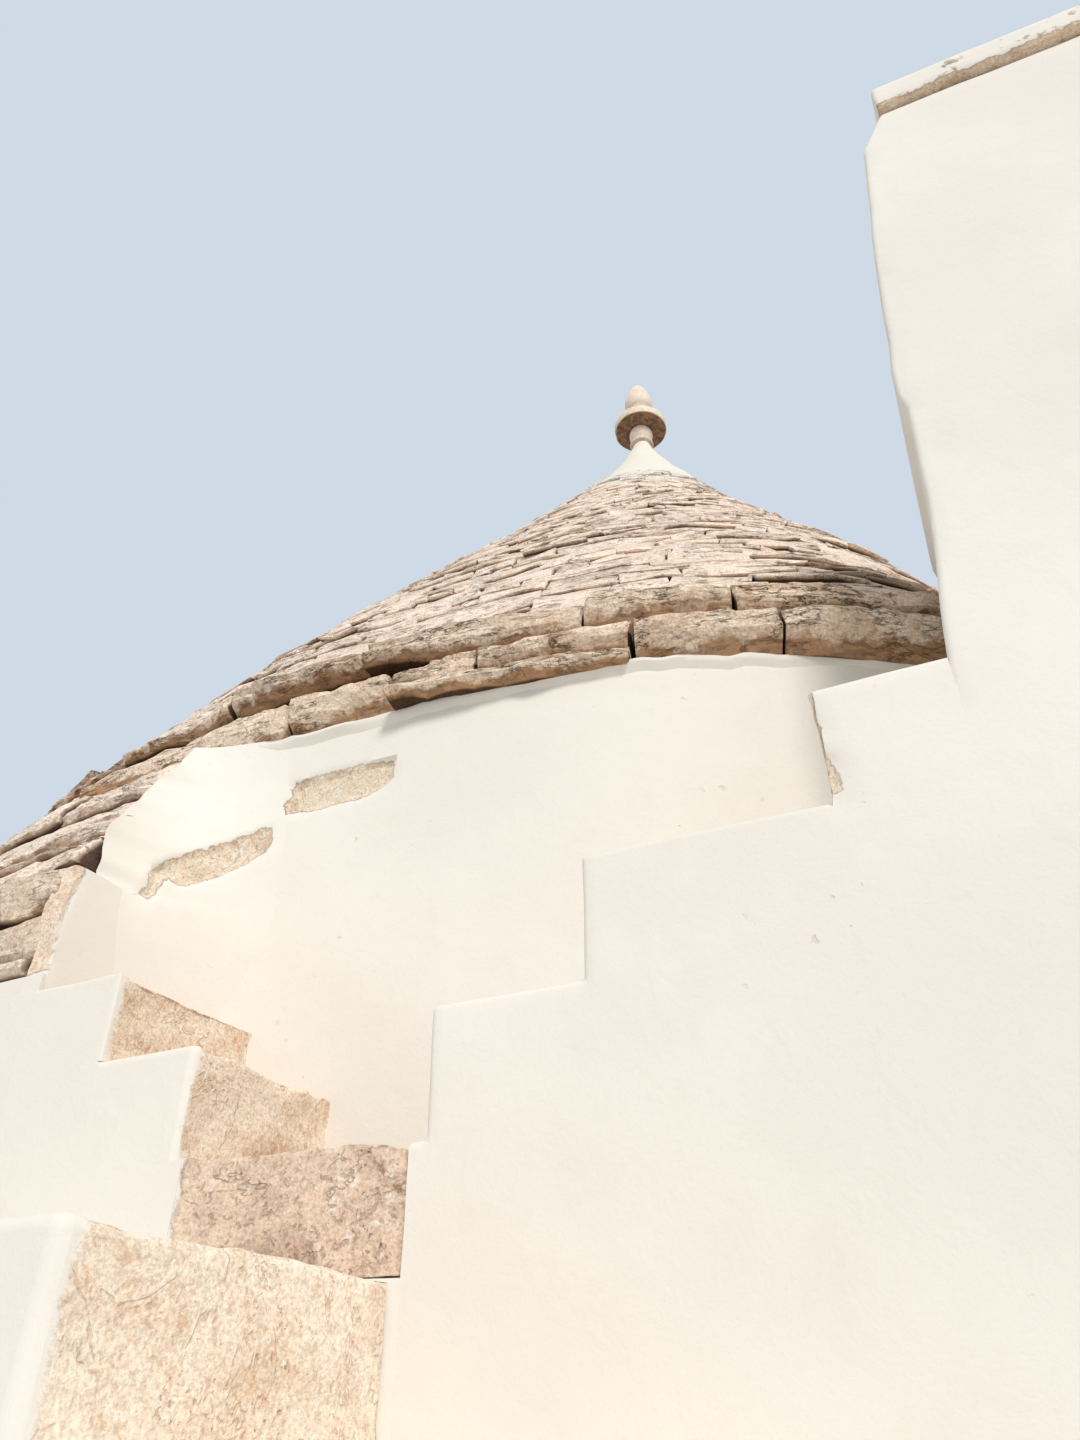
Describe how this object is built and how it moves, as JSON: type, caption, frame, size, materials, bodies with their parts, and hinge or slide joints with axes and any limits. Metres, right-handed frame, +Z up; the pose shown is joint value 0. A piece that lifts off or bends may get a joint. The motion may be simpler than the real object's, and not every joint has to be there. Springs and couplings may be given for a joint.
{
  "type": "trullo house",
  "caption": "Whitewashed dry stone trullo with a corbelled cone roof, capped finial, forked outside stair and a tall flat roofed annex",
  "frame": {"origin": "on the cone's axis at ground level, on the underside of the room floor", "axes": "+X to the right along the stepped front wall, +Y from that wall's front toward the back of the house, +Z up"},
  "size_m": [7.7832, 7.1042, 8.423],
  "materials": {
    "whitewash": "limewashed rough stone, matte",
    "raw_stone": "weathered bare limestone, matte",
    "roof_stone": "dry laid limestone slabs, matte",
    "cap_plaster": "limewashed plaster, matte",
    "finial_stone": "carved limestone, matte",
    "paving": "worn flagstones, matte",
    "door_wood": "oiled planks, matte",
    "pane_glass": "clear glass"
  },
  "bodies": {
    "root": {"floor_paving": "paving", "front_wall": "whitewash", "right_wall": "whitewash", "rear_right_wall": "whitewash", "door_head_wall": "whitewash", "rear_left_wall": "whitewash", "left_rear_wall": "whitewash", "window_sill_wall": "whitewash", "window_head_wall": "whitewash", "left_front_wall": "whitewash", "door_leaf_left": "door_wood", "door_leaf_right": "door_wood", "window_frame": "door_wood", "window_pane": "pane_glass", "eave_course_lower": "roof_stone", "eave_course_upper": "roof_stone", "cone_lower": "roof_stone", "cone_middle": "roof_stone", "cone_upper": "roof_stone", "cone_top": "roof_stone", "closing_slab": "roof_stone", "cone_cap": "cap_plaster", "finial_stem": "finial_stone", "finial_disc": "finial_stone", "finial_egg": "finial_stone", "roof_skirt": "roof_stone", "left_buttress": "whitewash", "buttress_course": "raw_stone", "stair_base": "whitewash", "turning_step": "raw_stone", "left_step_lower": "raw_stone", "left_step_upper": "raw_stone", "landing_block": "raw_stone", "lower_flight": "whitewash", "right_flight": "whitewash", "corner_fill": "whitewash", "annex_front_wall": "whitewash", "annex_left_wall": "whitewash", "annex_right_wall": "whitewash", "annex_rear_wall": "whitewash", "annex_door_head": "whitewash", "annex_roof": "whitewash", "annex_coping": "raw_stone", "annex_floor": "paving", "annex_door_leaf": "door_wood"}
  },
  "joints": []
}
